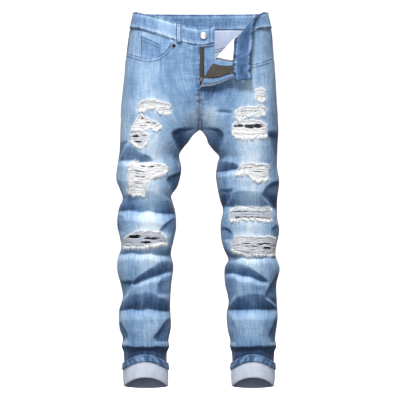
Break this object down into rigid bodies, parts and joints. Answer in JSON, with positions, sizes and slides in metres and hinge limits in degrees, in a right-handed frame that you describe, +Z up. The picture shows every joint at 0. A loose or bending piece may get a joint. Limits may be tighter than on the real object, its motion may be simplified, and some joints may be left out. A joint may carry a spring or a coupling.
{
  "type": "ripped jeans",
  "caption": "Faded denim jeans with torn, frayed front legs and turned-up cuffs, held open as if worn, fly undone and its corner folded back.",
  "frame": {"origin": "the middle of the waist, where the wearer's waist holds the garment, level with the tops of the side seams", "axes": "+Z up, from the cuffs to the waistband; the front faces -Y; the wearer's left is +X"},
  "size_m": [0.4042, 0.2124, 0.937],
  "materials": {
    "washed_denim": "light-washed blue cotton twill, faded at the thighs and knees, its surface matt",
    "denim_wrong_side": "the same twill's pale wrong side, matt",
    "pocket_cloth": "thin plain white cotton, matt",
    "zip_tape_cloth": "woven brown zip tape, matt",
    "button_metal": "satin silver-coloured metal",
    "rivet_metal": "dark, dull metal",
    "zip_metal": "aged brown metal"
  },
  "bodies": {
    "root": {"front_panel_right": "washed_denim", "front_panel_left": "washed_denim", "back_panel_right": "washed_denim", "back_panel_left": "washed_denim", "back_yoke_right": "washed_denim", "back_yoke_left": "washed_denim", "back_pocket_right": "washed_denim", "back_pocket_left": "washed_denim", "waistband": "washed_denim", "belt_loop_front_right": "washed_denim", "belt_loop_front_left": "washed_denim", "belt_loop_back_right": "washed_denim", "belt_loop_back_middle": "washed_denim", "belt_loop_back_left": "washed_denim", "pocket_facing_right": "washed_denim", "pocket_facing_left": "washed_denim", "coin_pocket": "washed_denim", "fly_facing_left": "washed_denim", "fly_shield_right": "washed_denim", "pocket_bag_right": "pocket_cloth", "pocket_bag_left": "pocket_cloth", "zip_tape_right": "zip_tape_cloth", "zip_tape_left": "zip_tape_cloth", "cuff_right": "denim_wrong_side", "cuff_left": "denim_wrong_side", "hem_band_right": "washed_denim", "hem_band_left": "washed_denim", "button": "button_metal", "pocket_rivet": "rivet_metal", "zip_slider": "zip_metal"}
  },
  "joints": []
}
